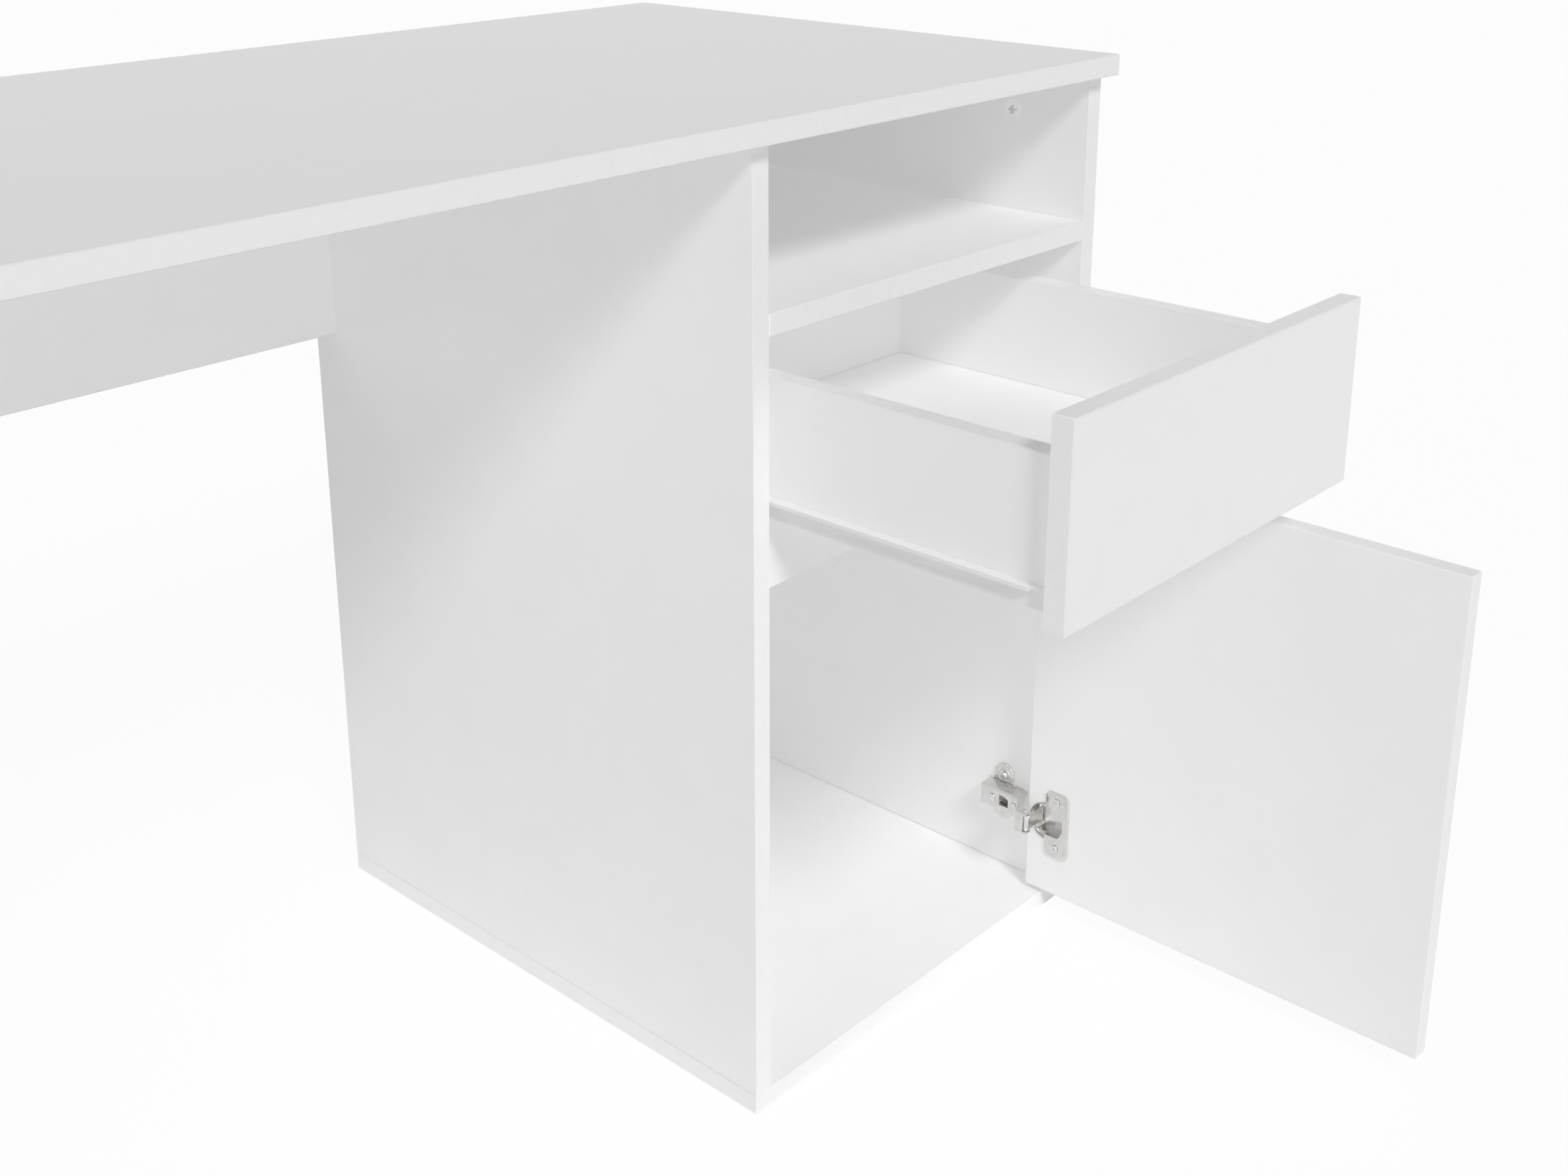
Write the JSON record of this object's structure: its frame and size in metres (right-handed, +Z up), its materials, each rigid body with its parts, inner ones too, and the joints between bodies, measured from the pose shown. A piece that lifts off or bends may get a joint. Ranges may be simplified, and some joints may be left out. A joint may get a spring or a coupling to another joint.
{
  "type": "corner desk",
  "caption": "White L-shaped corner desk on panel supports, with an open niche, a drawer on roller runners and an inset cupboard door in its right-hand pedestal.",
  "frame": {"origin": "bottom centre of the whole object's box in the rest pose, on the floor", "axes": "+Z up, -Y towards the person at the desk, +X towards the pedestal's end of the right wing"},
  "size_m": [1.55, 0.8656, 0.75],
  "materials": {
    "white_melamine": "white melamine-faced chipboard, satin",
    "white_hdf": "white-faced thin fibreboard, satin",
    "coated_steel": "white epoxy coating",
    "nickel_steel": "bright nickel plating",
    "white_cam": "white moulded plastic",
    "zinc_screw": "bright zinc plating",
    "white_nylon": "smooth moulded nylon"
  },
  "bodies": {
    "desk": {"cam_lock_end_back": "white_cam", "cam_lock_end_front": "white_cam", "cam_lock_left_back": "white_cam", "cam_lock_left_front": "white_cam", "cam_lock_right_back": "white_cam", "cam_lock_right_front": "white_cam", "desktop": "white_melamine", "end_panel": "white_melamine", "fixed_runner_left": "coated_steel", "fixed_runner_left_screw_1": "zinc_screw", "fixed_runner_left_screw_2": "zinc_screw", "fixed_runner_right": "coated_steel", "fixed_runner_right_screw_1": "zinc_screw", "fixed_runner_right_screw_2": "zinc_screw", "front_rail": "white_melamine", "hinge_lower_arm": "nickel_steel", "hinge_lower_arm_screw_back": "zinc_screw", "hinge_lower_arm_screw_front": "zinc_screw", "hinge_lower_link": "nickel_steel", "hinge_lower_plate": "nickel_steel", "hinge_lower_plate_screw_bottom": "zinc_screw", "hinge_lower_plate_screw_top": "zinc_screw", "hinge_upper_arm": "nickel_steel", "hinge_upper_arm_screw_back": "zinc_screw", "hinge_upper_arm_screw_front": "zinc_screw", "hinge_upper_link": "nickel_steel", "hinge_upper_plate": "nickel_steel", "hinge_upper_plate_screw_bottom": "zinc_screw", "hinge_upper_plate_screw_top": "zinc_screw", "modesty_panel": "white_melamine", "niche_shelf": "white_melamine", "pedestal_back": "white_hdf", "pedestal_bottom": "white_melamine", "pedestal_side_left": "white_melamine", "pedestal_side_right": "white_melamine"},
    "drawer": {"drawer_back": "white_melamine", "drawer_bottom": "white_hdf", "drawer_front": "white_melamine", "drawer_runner_left": "coated_steel", "drawer_runner_left_screw_1": "zinc_screw", "drawer_runner_left_screw_2": "zinc_screw", "drawer_runner_right": "coated_steel", "drawer_runner_right_screw_1": "zinc_screw", "drawer_runner_right_screw_2": "zinc_screw", "drawer_side_left": "white_melamine", "drawer_side_right": "white_melamine"},
    "door": {"door": "white_melamine", "hinge_lower_cup": "nickel_steel", "hinge_lower_cup_screw_bottom": "zinc_screw", "hinge_lower_cup_screw_top": "zinc_screw", "hinge_lower_pin": "nickel_steel", "hinge_upper_cup": "nickel_steel", "hinge_upper_cup_screw_bottom": "zinc_screw", "hinge_upper_cup_screw_top": "zinc_screw", "hinge_upper_pin": "nickel_steel"},
    "drawer_roller_left_body": {"drawer_roller_left": "white_nylon"},
    "drawer_roller_right_body": {"drawer_roller_right": "white_nylon"},
    "fixed_roller_left_body": {"fixed_roller_left": "white_nylon"},
    "fixed_roller_right_body": {"fixed_roller_right": "white_nylon"}
  },
  "joints": [
    {"name": "drawer_slide", "type": "slide", "parent": "desk", "child": "drawer", "axis": [0, -1, 0], "range_m": [-0.238, 0.062]},
    {"name": "door_hinge", "type": "hinge", "parent": "desk", "child": "door", "pos_m": [0.7448, -0.078, 0.2205], "axis": [0, 0, 1], "range_deg": [-90, 10]},
    {"name": "fixed_roller_left_turn", "type": "hinge", "parent": "desk", "child": "fixed_roller_left_body", "pos_m": [0.3946, -0.0537, 0.4771], "axis": [1, 0, 0], "continuous": true},
    {"name": "drawer_roller_left_turn", "type": "hinge", "parent": "drawer", "child": "drawer_roller_left_body", "pos_m": [0.3909, 0.0828, 0.475], "axis": [1, 0, 0], "continuous": true},
    {"name": "fixed_roller_right_turn", "type": "hinge", "parent": "desk", "child": "fixed_roller_right_body", "pos_m": [0.7474, -0.0537, 0.4771], "axis": [1, 0, 0], "continuous": true},
    {"name": "drawer_roller_right_turn", "type": "hinge", "parent": "drawer", "child": "drawer_roller_right_body", "pos_m": [0.7511, 0.0828, 0.475], "axis": [1, 0, 0], "continuous": true}
  ],
  "couplings": [
    {"joint": "fixed_roller_left_turn", "follows": "drawer_slide", "rad_per_m": 153.85},
    {"joint": "drawer_roller_left_turn", "follows": "drawer_slide", "rad_per_m": 153.85},
    {"joint": "fixed_roller_right_turn", "follows": "drawer_slide", "rad_per_m": 153.85},
    {"joint": "drawer_roller_right_turn", "follows": "drawer_slide", "rad_per_m": 153.85}
  ]
}
